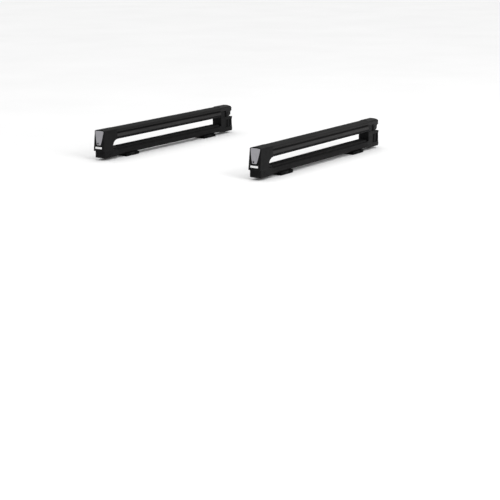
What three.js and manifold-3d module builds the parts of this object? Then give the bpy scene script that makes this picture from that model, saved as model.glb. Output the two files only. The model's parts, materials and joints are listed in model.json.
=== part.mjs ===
// A pair of hinged roof ski carriers, in millimetres, +Z up.
// Each carrier lies along Y: the push button is at its -Y end and the arm's hinge at its +Y end.
// The origin is under the middle of the pair, on the plane the foot pads stand on.
import * as THREE from 'three';
import { mergeVertices } from 'three/addons/utils/BufferGeometryUtils.js';
import Module from 'manifold-3d';

const wasm = await Module();
wasm.setup();

// ---------------------------------------------------------------- driving dimensions

const SPACING = 750; // between the two carriers' centre lines
const HALF_LENGTH = 435; // half of one carrier's length
const GAP = 0.3; // clearance between touching pieces

const BLOCK_BASE_Z = 7.8; // underside of the end block and the hinge post
const RAIL_BASE_Z = 12; // underside of the lower rail
const RAIL_TOP_Z = 36; // top of the lower rail
const SEAM_Z = 37; // top of the near end block
const SLOT_LOW_Z = 44; // top of the lower rubber
const SLOT_HIGH_Z = 76; // underside of the upper rubber
const LIP_Z = 86.6; // underside of the arm's extrusion
const GROOVE_Z = 101.5; // the groove along the arm's sides
const CROWN_Z = 122; // top of the arm
const HOOD_Z = 124; // top of the hinge cap
const CROWN_RISE = 4.5; // how far the crowned tops fall from the middle to their shoulders

const RAIL_HALF = 23.8; // half-width of the lower rail
const RAIL_WALL = 2.2;
const LOWER_RUBBER_HALF = 20.3;
const UPPER_RUBBER_HALF = 22.8;
const BLOCK_HALF = 24.8; // half-width of the near end block
const POST_HALF = 23.8; // half-width of the hinge post
const ARM_HALF = 24.4; // half-width of the arm above its groove
const LIP_HALF = 26; // half-width of the arm at its lip
const CAP_HALF = 26.3; // half-width of the arm's end cap
const CAP_WALL = 3;
const HOOD_HALF = 22.4; // half-width of the hinge cap

const CAP_INNER_Y = -349; // where the end cap meets the arm
const COLUMN_INNER_Y = -376; // inner face of the end cap's column
const NEAR_SLOPE = 11; // how far the near face leans back over its height
const BLOCK_NEAR_Y = -427; // near face of the base's end block
const BLOCK_FAR_Y = -345;
const ARM_FAR_Y = 350; // far end of the arm's extrusion
const POST_NEAR_Y = 353; // ski side of the hinge post
const POST_BASE_Y = 342; // where the hinge post meets the lower rail

const COLUMN_TOP_Z = 100; // top of the post's column, under the hood
const POST_BLOCK_TOP_Z = 73.6;

const HINGE_Y = 412;
const HINGE_Z = 103;
const HINGE_PIN_RADIUS = 4;
const KNUCKLE_HALF = 13; // half-width of the post's knuckle, between the hood's cheeks
const CHEEK_INNER_X = 14.2;
const CHEEK_OUTER_X = 18.2;
const CHEEK_RADIUS = 28; // the cheeks' round lower edge, about the hinge pin
const HOOD_SKIRT_Z = 97.5; // lower edge of the hood, where the narrower cheeks begin
const HOOD_RADIUS = 22.7; // the hood's round far end
const HOOD_ROUND_Z = 101; // height of that round end's centre

const BUTTON_TOP_Z = 117;
const BUTTON_BASE_Z = 61;
const BUTTON_TOP_HALF = 20.9;
const BUTTON_CORNER = 5; // radius of its two lower corners
const BUTTON_REAR_Y = -414;
const BUTTON_PROUD = 1.2;
const BUTTON_TRAVEL = 6;
const BUTTON_CROWN = 1.2; // the same fall, across the button's top edge
const BUTTON_WALL = 2.6;
const LOCK_X = -3.8;
const LOCK_Z = 67.5;
const LOCK_RADIUS = 3.6;

const BADGE_HALF = 16.8; // half-width of the blank plate
const BADGE_RISE = 3.9; // half its height

const SPRING_Z = 89;

const HOOK_Y = -398;
const HOOK_Z = 68;
const HOOK_HALF = 11;
const LATCH_PIN_RADIUS = 3;
const STRIKER_Z = 25.8; // underside of the plate that the hook catches

const FOOT_NEAR_Y = -302;
const FOOT_LENGTH = 82;
const FOOT_HALF = 30.5; // half-width of a foot, wider than the rail it carries
const FOOT_BOTTOM_Z = 2.8;
const PAD_TOP_Z = 2.5;
const WHEEL_RADIUS = 31.2; // reaches just past both sides of its foot
const WHEEL_LOW_Z = 5.2;
const WHEEL_HIGH_Z = 11.2;
const BOLT_RADIUS = 3;
const SCREW_RADIUS = 2;
const HEAD_RADIUS = 3.4;
const ARM_SCREW_Z = 94.5;
const ARM_SEAT_X = 22.8; // where the arm's screw heads sit
const RAIL_SCREW_Z = 22;

const BLACK_PLASTIC = { color: 0x17181a, roughness: 0.55, metalness: 0 };
const BLACK_ANODISED = { color: 0x202124, roughness: 0.42, metalness: 0.6 };
const BLACK_RUBBER = { color: 0x0c0c0d, roughness: 0.85, metalness: 0 };
const GREY_PLASTIC = { color: 0x9c9da2, roughness: 0.45, metalness: 0 };
const WHITE_PLATE = { color: 0xe6e6e6, roughness: 0.4, metalness: 0 };
const STEEL = { color: 0x8a8d90, roughness: 0.35, metalness: 1 };
const DARK_STEEL = { color: 0x3a3b3d, roughness: 0.4, metalness: 1 };

// ---------------------------------------------------------------- shape helpers

function outline(points) {
  return new THREE.Shape(points.map(([u, v]) => new THREE.Vector2(u, v)));
}

// Points on an arc, from one angle to another in degrees, both ends included.
function arc(centreU, centreV, radius, fromDeg, toDeg, steps) {
  const points = [];
  for (let i = 0; i <= steps; i += 1) {
    const angle = THREE.MathUtils.degToRad(fromDeg + ((toDeg - fromDeg) * i) / steps);
    points.push([centreU + radius * Math.cos(angle), centreV + radius * Math.sin(angle)]);
  }
  return points;
}

function mirrored(halfPoints) {
  const otherHalf = halfPoints.filter(([u]) => u > 1e-6).map(([u, v]) => [-u, v]);
  return halfPoints.concat(otherHalf.reverse());
}

function extrude(points, depth) {
  return new THREE.ExtrudeGeometry(outline(points), { depth, bevelEnabled: false });
}

// Outline in (x, z), running from yFrom to yTo.
function alongY(points, yFrom, yTo) {
  const geometry = extrude(points, yTo - yFrom);
  geometry.rotateX(Math.PI / 2);
  geometry.translate(0, yTo, 0);
  return geometry;
}

// Outline in (y, z), running from xFrom to xTo.
function alongX(points, xFrom, xTo) {
  const geometry = extrude(points, xTo - xFrom);
  const axes = new THREE.Matrix4().makeBasis(
    new THREE.Vector3(0, 1, 0),
    new THREE.Vector3(0, 0, 1),
    new THREE.Vector3(1, 0, 0),
  );
  geometry.applyMatrix4(axes);
  geometry.translate(xFrom, 0, 0);
  return geometry;
}

// Outline in (x, y), running from zFrom to zTo.
function alongZ(points, zFrom, zTo) {
  const geometry = extrude(points, zTo - zFrom);
  geometry.translate(0, 0, zFrom);
  return geometry;
}

function box(xFrom, xTo, yFrom, yTo, zFrom, zTo) {
  const geometry = new THREE.BoxGeometry(xTo - xFrom, yTo - yFrom, zTo - zFrom);
  geometry.translate((xFrom + xTo) / 2, (yFrom + yTo) / 2, (zFrom + zTo) / 2);
  return geometry;
}

function cylinderX(radius, xFrom, xTo, y, z, sides = 20) {
  const geometry = new THREE.CylinderGeometry(radius, radius, xTo - xFrom, sides);
  geometry.rotateZ(Math.PI / 2);
  geometry.translate((xFrom + xTo) / 2, y, z);
  return geometry;
}

function cylinderY(radius, yFrom, yTo, x, z, sides = 20) {
  const geometry = new THREE.CylinderGeometry(radius, radius, yTo - yFrom, sides);
  geometry.translate(x, (yFrom + yTo) / 2, z);
  return geometry;
}

function cylinderZ(radius, zFrom, zTo, x, y, sides = 20) {
  const geometry = new THREE.CylinderGeometry(radius, radius, zTo - zFrom, sides);
  geometry.rotateX(Math.PI / 2);
  geometry.translate(x, y, (zFrom + zTo) / 2);
  return geometry;
}

function toSolid(geometry) {
  const plain = geometry.clone();
  plain.deleteAttribute('normal');
  plain.deleteAttribute('uv');
  const merged = mergeVertices(plain, 1e-4);
  return new wasm.Manifold(
    new wasm.Mesh({
      numProp: 3,
      vertProperties: new Float32Array(merged.attributes.position.array),
      triVerts: new Uint32Array(merged.index.array),
    }),
  );
}

function toGeometry(solid) {
  const mesh = solid.getMesh();
  const geometry = new THREE.BufferGeometry();
  geometry.setAttribute('position', new THREE.BufferAttribute(mesh.vertProperties, 3));
  geometry.setIndex(new THREE.BufferAttribute(mesh.triVerts, 1));
  geometry.computeVertexNormals();
  return geometry;
}

// Joins the first list of geometries, then cuts away the second.
function build(added, removed = []) {
  let solid = toSolid(added[0]);
  for (const geometry of added.slice(1)) {
    solid = solid.add(toSolid(geometry));
  }
  for (const geometry of removed) {
    solid = solid.subtract(toSolid(geometry));
  }
  return toGeometry(solid);
}

function common(first, second) {
  return toGeometry(toSolid(first).intersect(toSolid(second)));
}

// Where the near face of the end cap stands at a height.
function nearFaceY(z) {
  return -HALF_LENGTH + (NEAR_SLOPE * (z - SEAM_Z)) / (CROWN_Z - SEAM_Z);
}

// Half of a crowned top, from its apex out to its rounded shoulder.
function crownHalf(apexZ, halfWidth, shoulderRadius, rise = CROWN_RISE) {
  const flatHalf = halfWidth - shoulderRadius * 0.75;
  const radius = (flatHalf * flatHalf + rise * rise) / (2 * rise);
  const spread = THREE.MathUtils.radToDeg(Math.asin(flatHalf / radius));
  const top = arc(0, apexZ - radius, radius, 90, 90 - spread, 5);
  const shoulderZ = apexZ - rise - shoulderRadius * 0.95;
  const shoulder = arc(halfWidth - shoulderRadius, shoulderZ, shoulderRadius, 50, 0, 3);
  return top.concat(shoulder);
}

// Plan outline, as far as the middle, of a piece whose near end has two rounded vertical corners.
function nearPlan(nearY, half, corner) {
  return [
    ...arc(-half + corner, nearY + corner, corner, 180, 270, 4),
    ...arc(half - corner, nearY + corner, corner, 270, 360, 4),
    [half, 0],
    [-half, 0],
  ];
}

// ---------------------------------------------------------------- base

function lowerRail() {
  const corner = 4;
  const inner = RAIL_HALF - RAIL_WALL;
  const slotHalf = 8;
  const half = [
    [slotHalf, RAIL_TOP_Z],
    ...arc(RAIL_HALF - 3, RAIL_TOP_Z - 3, 3, 90, 0, 3),
    ...arc(RAIL_HALF - corner, RAIL_BASE_Z + corner, corner, 0, -90, 3),
  ];
  const hollow = [
    [inner - 2, RAIL_BASE_Z + RAIL_WALL],
    [inner, RAIL_BASE_Z + RAIL_WALL + 2],
    [inner, RAIL_TOP_Z - RAIL_WALL],
    [slotHalf, RAIL_TOP_Z - RAIL_WALL],
  ];
  const otherHollow = hollow.map(([x, z]) => [-x, z]);
  const otherHalf = half.map(([x, z]) => [-x, z]).reverse();
  const section = half.concat(otherHalf, otherHollow.reverse(), hollow);
  const body = alongY(section, BLOCK_FAR_Y + GAP, POST_BASE_Y - GAP);
  const cuts = [FOOT_NEAR_Y + FOOT_LENGTH / 2, -FOOT_NEAR_Y - FOOT_LENGTH / 2].map((y) =>
    cylinderZ(BOLT_RADIUS + 0.5, RAIL_BASE_Z - 1, RAIL_BASE_Z + RAIL_WALL + 1, 0, y),
  );
  for (const y of [BLOCK_FAR_Y + 10, POST_BASE_Y - 10]) {
    cuts.push(cylinderX(SCREW_RADIUS + GAP, -RAIL_HALF - 1, -inner + 1, y, RAIL_SCREW_Z, 12));
  }
  return build([body], cuts);
}

// A rubber profile with a T-shaped foot that slides into its rail; direction is +1 up or -1 down.
function rubberSection(faceZ, railZ, direction, padHalf) {
  const rib = 1.7;
  const ribs = 5;
  const pitch = (2 * padHalf) / ribs;
  const points = [[-padHalf, railZ + direction * GAP]];
  for (let i = 0; i < ribs; i += 1) {
    const left = -padHalf + i * pitch;
    points.push([left + pitch * 0.12, faceZ - direction * rib]);
    points.push([left + pitch * 0.3, faceZ]);
    points.push([left + pitch * 0.7, faceZ]);
    points.push([left + pitch * 0.88, faceZ - direction * rib]);
  }
  points.push([padHalf, railZ + direction * GAP]);
  const neckHalf = 7.6;
  const flangeHalf = 12;
  const underLip = railZ - direction * (RAIL_WALL + GAP);
  const flangeEnd = underLip - direction * 1.6;
  points.push([neckHalf, railZ + direction * GAP]);
  points.push([neckHalf, underLip]);
  points.push([flangeHalf, underLip]);
  points.push([flangeHalf, flangeEnd]);
  points.push([-flangeHalf, flangeEnd]);
  points.push([-flangeHalf, underLip]);
  points.push([-neckHalf, underLip]);
  points.push([-neckHalf, railZ + direction * GAP]);
  return points;
}

function lowerRubber() {
  const section = rubberSection(SLOT_LOW_Z, RAIL_TOP_Z, 1, LOWER_RUBBER_HALF);
  return alongY(section, BLOCK_FAR_Y + 0.5, POST_BASE_Y - 0.5);
}

function nearEndBlock() {
  const bottomCorner = 7;
  const side = [
    ...arc(BLOCK_NEAR_Y + bottomCorner, BLOCK_BASE_Z + bottomCorner, bottomCorner, 180, 270, 4),
    [BLOCK_FAR_Y - 14, BLOCK_BASE_Z],
    [BLOCK_FAR_Y, RAIL_BASE_Z],
    [BLOCK_FAR_Y, SEAM_Z],
    [BLOCK_NEAR_Y, SEAM_Z],
  ];
  const edge = 4;
  const half = BLOCK_HALF;
  const front = mirrored([
    [0, SEAM_Z],
    [half, SEAM_Z],
    ...arc(half - edge, BLOCK_BASE_Z + edge, edge, 0, -90, 3),
    [0, BLOCK_BASE_Z],
  ]);
  const profile = common(alongX(side, -half, half), alongY(front, BLOCK_NEAR_Y - 1, BLOCK_FAR_Y + 1));
  const shell = common(profile, alongZ(nearPlan(BLOCK_NEAR_Y, half, 3.5), BLOCK_BASE_Z - 1, SEAM_Z + 1));
  const rampTop = box(-19, 19, COLUMN_INNER_Y + 1, BLOCK_FAR_Y, SEAM_Z - 1, SLOT_LOW_Z);
  const spigot = box(-16, 16, BLOCK_FAR_Y - 1, BLOCK_FAR_Y + 20, 15.5, 28);
  const pocket = box(-16, 16, -415, -383, BLOCK_BASE_Z + 4, SEAM_Z + 1);
  const strikerRoom = box(-19.5, 19.5, -393.3, -386.7, STRIKER_Z - GAP, SEAM_Z + 1);
  const facePanel = box(-15, 15, BLOCK_NEAR_Y - 1, BLOCK_NEAR_Y + 1.2, BLOCK_BASE_Z + 5.5, SEAM_Z - 5.5);
  const marks = [-1, 1].map((hand) => cylinderX(2.2, hand * half - 1.4, hand * half + 1.4, -403, 26, 16));
  const screwHole = cylinderX(SCREW_RADIUS + GAP, -17, -4, BLOCK_FAR_Y + 10, RAIL_SCREW_Z, 12);
  return build([shell, rampTop, spigot], [pocket, strikerRoom, facePanel, ...marks, screwHole]);
}

function strikerPlate() {
  return box(-19.2, 19.2, -393, -387, STRIKER_Z, STRIKER_Z + 5);
}

function hingePost() {
  const half = POST_HALF;
  const flareZ = 72;
  const side = [
    [POST_BASE_Y, RAIL_BASE_Z],
    [POST_BASE_Y + 14, BLOCK_BASE_Z],
    ...arc(HALF_LENGTH - 9, BLOCK_BASE_Z + 9, 9, -90, 0, 4),
    [HALF_LENGTH - 3, 36],
    [HALF_LENGTH - 4, 58],
    [HALF_LENGTH, flareZ - 2],
    [HALF_LENGTH - 2, flareZ],
    [HALF_LENGTH - 8, POST_BLOCK_TOP_Z],
    [POST_NEAR_Y, POST_BLOCK_TOP_Z],
    [POST_NEAR_Y, RAIL_TOP_Z + 1],
    [POST_BASE_Y, RAIL_TOP_Z + 1],
  ];
  const edge = 3;
  const front = mirrored([
    [0, POST_BLOCK_TOP_Z + 1],
    [half, POST_BLOCK_TOP_Z + 1],
    ...arc(half - edge, BLOCK_BASE_Z + edge, edge, 0, -90, 3),
    [0, BLOCK_BASE_Z],
  ]);
  const shell = common(alongX(side, -half, half), alongY(front, POST_BASE_Y - 1, HALF_LENGTH + 1));
  const columnSide = [
    [POST_NEAR_Y, POST_BLOCK_TOP_Z - 1],
    [382, POST_BLOCK_TOP_Z - 1],
    [382, COLUMN_TOP_Z - 2],
    [379, COLUMN_TOP_Z],
    [POST_NEAR_Y + 3, COLUMN_TOP_Z],
    [POST_NEAR_Y, COLUMN_TOP_Z - 3],
  ];
  const column = alongX(columnSide, -HOOD_HALF + 1, HOOD_HALF - 1);
  const web = box(-9, 9, 381, 400, POST_BLOCK_TOP_Z - 1, 94);
  const stem = box(-KNUCKLE_HALF, KNUCKLE_HALF, 397, HINGE_Y - 4.5, POST_BLOCK_TOP_Z - 1, HINGE_Z);
  const knuckle = cylinderX(12, -KNUCKLE_HALF, KNUCKLE_HALF, HINGE_Y, HINGE_Z, 28);
  const bore = cylinderX(HINGE_PIN_RADIUS + GAP, -KNUCKLE_HALF - 1, KNUCKLE_HALF + 1, HINGE_Y, HINGE_Z, 24);
  const spigot = box(-16, 16, POST_BASE_Y - 20, POST_BASE_Y + 1, 15.5, 28);
  const recess = box(-half - 1, -half + 4, 384, 424, 26, 62);
  const otherRecess = box(half - 4, half + 1, 384, 424, 26, 62);
  const rib = box(-half + 0.5, half - 0.5, 402, 407, 25, 63);
  const screwHole = cylinderX(SCREW_RADIUS + GAP, -17, -4, POST_BASE_Y - 10, RAIL_SCREW_Z, 12);
  const body = build([shell, column, web, stem, knuckle, spigot], [bore, recess, otherRecess, screwHole]);
  return build([body, rib]);
}

function footOutline(y0, inset) {
  const half = FOOT_HALF - inset;
  const near = y0 + inset;
  const far = y0 + FOOT_LENGTH - inset;
  const corner = 2;
  return [
    ...arc(half - corner, near + corner, corner, -90, 0, 3),
    ...arc(half - corner, far - corner, corner, 0, 90, 3),
    ...arc(-half + corner, far - corner, corner, 90, 180, 3),
    ...arc(-half + corner, near + corner, corner, 180, 270, 3),
  ];
}

// A foot with an open window in each side, where the clamp wheel's rim can be turned by hand.
function foot(y0) {
  const middle = y0 + FOOT_LENGTH / 2;
  const roomLow = WHEEL_LOW_Z - GAP;
  const body = alongZ(footOutline(y0, 0), FOOT_BOTTOM_Z, RAIL_BASE_Z - GAP);
  const wheelRoom = cylinderZ(WHEEL_RADIUS + 0.8, roomLow, RAIL_BASE_Z, 0, middle, 48);
  const fingerRoom = box(-FOOT_HALF - 1, FOOT_HALF + 1, middle - 15, middle + 15, roomLow, RAIL_BASE_Z);
  const headRoom = box(-5.5, 5.5, middle - 10.5, middle + 10.5, 2, WHEEL_LOW_Z);
  return build([body], [wheelRoom, fingerRoom, headRoom]);
}

function footPad(y0) {
  const middle = y0 + FOOT_LENGTH / 2;
  const body = alongZ(footOutline(y0, 1), 0, PAD_TOP_Z);
  const headRoom = box(-5.5, 5.5, middle - 10.5, middle + 10.5, -1, PAD_TOP_Z + 1);
  return build([body], [headRoom]);
}

// The bolt whose oblong head goes into the roof bar's slot; it is drawn up flush when the wheel is tight.
function tBolt(y0) {
  const middle = y0 + FOOT_LENGTH / 2;
  const head = box(-5, 5, middle - 10, middle + 10, 0.6, 4.6);
  const shank = cylinderZ(BOLT_RADIUS, 4, 29, 0, middle, 18);
  return build([head, shank]);
}

function clampWheel(y0) {
  const middle = y0 + FOOT_LENGTH / 2;
  const notches = 36;
  const rim = [];
  for (let i = 0; i < notches * 2; i += 1) {
    const angle = (Math.PI * i) / notches;
    const radius = i % 2 === 0 ? WHEEL_RADIUS : WHEEL_RADIUS - 1.1;
    rim.push([radius * Math.cos(angle), middle + radius * Math.sin(angle)]);
  }
  const body = alongZ(rim, WHEEL_LOW_Z, WHEEL_HIGH_Z);
  const bore = cylinderZ(BOLT_RADIUS + 0.3, WHEEL_LOW_Z - 1, WHEEL_HIGH_Z + 1, 0, middle, 18);
  return build([body], [bore]);
}

// ---------------------------------------------------------------- arm

function armSection() {
  const outer = [
    ...crownHalf(CROWN_Z, ARM_HALF, 5),
    [ARM_HALF, GROOVE_Z + 1.6],
    [ARM_HALF - 1.8, GROOVE_Z + 0.8],
    [ARM_HALF - 1.8, GROOVE_Z - 0.9],
    [ARM_HALF - 1.2, GROOVE_Z - 3],
    [ARM_HALF - 0.9, GROOVE_Z - 6.5],
    [ARM_HALF - 0.1, GROOVE_Z - 10],
    [LIP_HALF, LIP_Z + 3],
    [LIP_HALF, LIP_Z + 0.8],
    [LIP_HALF - 0.8, LIP_Z],
    [8, LIP_Z],
  ];
  const inner = [
    [8, LIP_Z + RAIL_WALL],
    [ARM_HALF - 4.4, LIP_Z + RAIL_WALL],
    [ARM_HALF - 4.4, GROOVE_Z - 2],
    [ARM_HALF - 5, GROOVE_Z + 2],
    [ARM_HALF - 2.8, GROOVE_Z + 6],
    [ARM_HALF - 5.6, CROWN_Z - 8],
    [9, CROWN_Z - 4.2],
    [0, CROWN_Z - 2.8],
  ];
  const right = outer.concat(inner);
  const left = right.filter(([x]) => x > 1e-6).map(([x, z]) => [-x, z]);
  return { right, left };
}

function upperArm() {
  const { right, left } = armSection();
  const section = right.concat(left.reverse());
  const body = alongY(section, CAP_INNER_Y + GAP, ARM_FAR_Y);
  const cuts = [];
  for (const y of [CAP_INNER_Y + 10, ARM_FAR_Y - 10]) {
    cuts.push(cylinderX(SCREW_RADIUS + GAP, -LIP_HALF - 1, -16, y, ARM_SCREW_Z, 12));
    cuts.push(cylinderX(HEAD_RADIUS + 0.5, -LIP_HALF - 1, -ARM_SEAT_X, y, ARM_SCREW_Z, 20));
  }
  return build([body], cuts);
}

function upperRubber() {
  const section = rubberSection(SLOT_HIGH_Z, LIP_Z, -1, UPPER_RUBBER_HALF);
  return alongY(section, CAP_INNER_Y + 0.5, ARM_FAR_Y - 0.5);
}

function buttonHalf(z) {
  const share = (z - BUTTON_BASE_Z) / (BUTTON_TOP_Z - BUTTON_BASE_Z);
  return 8.8 + 13.1 * share ** 0.75;
}

// The button's tapered front outline, grown or shrunk all round.
function buttonOutline(grow) {
  const sideTopZ = BUTTON_TOP_Z - 12;
  const sideLowZ = BUTTON_BASE_Z + BUTTON_CORNER;
  const side = [];
  for (let i = 0; i < 6; i += 1) {
    const z = sideTopZ + ((sideLowZ - sideTopZ) * i) / 6;
    side.push([buttonHalf(z) + grow, z]);
  }
  const cornerX = buttonHalf(sideLowZ) - BUTTON_CORNER;
  return mirrored([
    ...crownHalf(BUTTON_TOP_Z + grow, BUTTON_TOP_HALF + grow, 2, BUTTON_CROWN),
    ...side,
    ...arc(cornerX, sideLowZ, BUTTON_CORNER + grow, 0, -90, 5),
    [0, BUTTON_BASE_Z - grow],
  ]);
}

function armEndCap() {
  const topCorner = 5;
  const cornerRadius = CAP_INNER_Y - COLUMN_INNER_Y;
  const side = [
    [-HALF_LENGTH, SEAM_Z + 0.4],
    [COLUMN_INNER_Y - 0.6, SEAM_Z + 0.4],
    ...arc(CAP_INNER_Y, SLOT_HIGH_Z + 1 - cornerRadius, cornerRadius, 180, 90, 6),
    [CAP_INNER_Y, CROWN_Z + 2],
    [nearFaceY(CROWN_Z) + topCorner, CROWN_Z + 2],
    [nearFaceY(CROWN_Z) + 2.2, CROWN_Z - 0.4],
    [nearFaceY(CROWN_Z - topCorner), CROWN_Z - topCorner],
  ];
  const front = mirrored([
    ...crownHalf(CROWN_Z + 0.5, CAP_HALF, 5),
    [CAP_HALF + 0.3, SEAM_Z - 1],
    [0, SEAM_Z - 1],
  ]);
  const width = CAP_HALF + 2;
  const profile = common(alongX(side, -width, width), alongY(front, -HALF_LENGTH - 1, CAP_INNER_Y + 1));
  const plan = alongZ(nearPlan(-HALF_LENGTH, CAP_HALF + 0.3, 4), -SEAM_Z, CROWN_Z);
  plan.translate(0, 0, -SEAM_Z);
  plan.applyMatrix4(new THREE.Matrix4().makeShear(0, 0, 0, 0, 0, NEAR_SLOPE / (CROWN_Z - SEAM_Z)));
  plan.translate(0, 0, SEAM_Z);
  const shell = common(profile, plan);
  const cavitySide = [
    [-HALF_LENGTH + CAP_WALL, SEAM_Z - 1],
    [COLUMN_INNER_Y - CAP_WALL, SEAM_Z - 1],
    [COLUMN_INNER_Y - CAP_WALL, SLOT_HIGH_Z + 8],
    [CAP_INNER_Y - 6, SLOT_HIGH_Z + 12],
    [CAP_INNER_Y - 6, CROWN_Z - 8],
    [nearFaceY(CROWN_Z) + CAP_WALL + 0.8, CROWN_Z - 8],
    [nearFaceY(SLOT_HIGH_Z) + CAP_WALL, SLOT_HIGH_Z],
  ];
  const cavity = alongX(cavitySide, -CAP_HALF + CAP_WALL, CAP_HALF - CAP_WALL);
  const window = alongY(buttonOutline(0.4), -HALF_LENGTH - 2, BUTTON_REAR_Y + BUTTON_TRAVEL + 1);
  const pinSockets = cylinderX(LATCH_PIN_RADIUS + GAP, -CAP_HALF + 1.5, CAP_HALF - 1.5, HOOK_Y, HOOK_Z, 20);
  const spigot = box(-15, 15, CAP_INNER_Y - 1, CAP_INNER_Y + 20, 91, 105);
  const screwHole = cylinderX(SCREW_RADIUS + GAP, -16, -4, CAP_INNER_Y + 10, ARM_SCREW_Z, 12);
  const plateRoom = leaningSlab(BADGE_HALF + GAP, BADGE_RISE + GAP, -2, 0.6 + GAP);
  const springSeat = cylinderY(4, -391.5, CAP_INNER_Y - 5, 0, SPRING_Z, 16);
  const body = build([shell], [cavity, window, pinSockets, plateRoom]);
  return build([body, spigot, springSeat], [screwHole]);
}

// A slab that leans with the near face, under the button; it runs from one depth to another.
function leaningSlab(halfWidth, halfHeight, from, to) {
  const middleZ = 50.3;
  const lean = Math.atan(NEAR_SLOPE / (CROWN_Z - SEAM_Z));
  const geometry = box(-halfWidth, halfWidth, from, to, -halfHeight, halfHeight);
  geometry.rotateX(-lean);
  geometry.translate(0, nearFaceY(middleZ), middleZ);
  return geometry;
}

function badgePlate() {
  return leaningSlab(BADGE_HALF, BADGE_RISE, -GAP, 0.6);
}

function pushButton() {
  const slopedSide = (back) => [
    [nearFaceY(40) - BUTTON_PROUD + back, 40],
    [nearFaceY(130) - BUTTON_PROUD + back, 130],
    [BUTTON_REAR_Y + back, 130],
    [BUTTON_REAR_Y + back, 40],
  ];
  const outer = common(
    alongY(buttonOutline(0), -HALF_LENGTH - 4, BUTTON_REAR_Y),
    alongX(slopedSide(0), -30, 30),
  );
  const inner = common(
    alongY(buttonOutline(-BUTTON_WALL), -HALF_LENGTH, BUTTON_REAR_Y + 6),
    alongX(slopedSide(BUTTON_WALL), -30, 30),
  );
  const flange = box(-18, 18, -424.4, -422.4, 54.5, 84);
  const flangeRoom = alongY(buttonOutline(-BUTTON_WALL), -424.6, -422.2);
  const pusher = box(-4, 4, -427, -401.8, 97.6, 100.4);
  const lockHole = cylinderY(LOCK_RADIUS + GAP, -HALF_LENGTH, -418, LOCK_X, LOCK_Z, 20);
  const springPeg = cylinderY(2.6, -428, -414, 0, SPRING_Z, 14);
  const shell = build([outer, flange], [inner, flangeRoom]);
  return build([shell, pusher, springPeg], [lockHole]);
}

function lockCylinder() {
  const faceY = nearFaceY(LOCK_Z) - BUTTON_PROUD - 0.4;
  const barrel = cylinderY(LOCK_RADIUS, faceY, -413.2, LOCK_X, LOCK_Z, 20);
  const tail = box(LOCK_X - 1.6, LOCK_X + 1.6, -413.4, -411.8, LOCK_Z - 2, LOCK_Z + 7);
  const keySlot = box(LOCK_X - 0.5, LOCK_X + 0.5, faceY - 1, faceY + 5, LOCK_Z - 2.3, LOCK_Z + 2.3);
  return build([barrel, tail], [keySlot]);
}

// A return spring between the button and the end cap, wound about a line along Y.
function buttonSpring() {
  const turns = 4.5;
  const coilRadius = 4.4;
  const wireRadius = 0.55;
  const stepsPerTurn = 10;
  const from = -413;
  const to = -392.6;
  const points = [];
  for (let i = 0; i <= turns * stepsPerTurn; i += 1) {
    const angle = (2 * Math.PI * i) / stepsPerTurn;
    const share = i / (turns * stepsPerTurn);
    const x = coilRadius * Math.cos(angle);
    const z = SPRING_Z + coilRadius * Math.sin(angle);
    points.push(new THREE.Vector3(x, from + (to - from) * share, z));
  }
  const wire = new THREE.Shape();
  wire.absarc(0, 0, wireRadius, 0, 2 * Math.PI, false);
  return new THREE.ExtrudeGeometry(wire, {
    steps: turns * stepsPerTurn,
    curveSegments: 3,
    bevelEnabled: false,
    extrudePath: new THREE.CatmullRomCurve3(points),
  });
}

function latchHook() {
  const side = [
    [HOOK_Y - 3, HOOK_Z + 30],
    [HOOK_Y - 1, HOOK_Z + 32.4],
    [HOOK_Y + 2, HOOK_Z + 32.4],
    [HOOK_Y + 3, HOOK_Z + 30],
    [HOOK_Y + 4, HOOK_Z],
    [HOOK_Y + 2.6, 32],
    [HOOK_Y + 2.6, 25.2],
    [HOOK_Y + 9.5, 24],
    [HOOK_Y + 9.5, 21.5],
    [HOOK_Y + 4, 15.5],
    [HOOK_Y - 2, 15.5],
    [HOOK_Y - 4, 20],
    [HOOK_Y - 4, HOOK_Z],
  ];
  const lever = alongX(side, -HOOK_HALF, HOOK_HALF);
  const hub = cylinderX(6.5, -HOOK_HALF, HOOK_HALF, HOOK_Y, HOOK_Z, 20);
  const bore = cylinderX(LATCH_PIN_RADIUS + GAP, -HOOK_HALF - 1, HOOK_HALF + 1, HOOK_Y, HOOK_Z, 20);
  const springRoom = box(-6, 6, HOOK_Y - 8, HOOK_Y + 8, 81, 95.5);
  return build([lever, hub], [bore, springRoom]);
}

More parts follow.
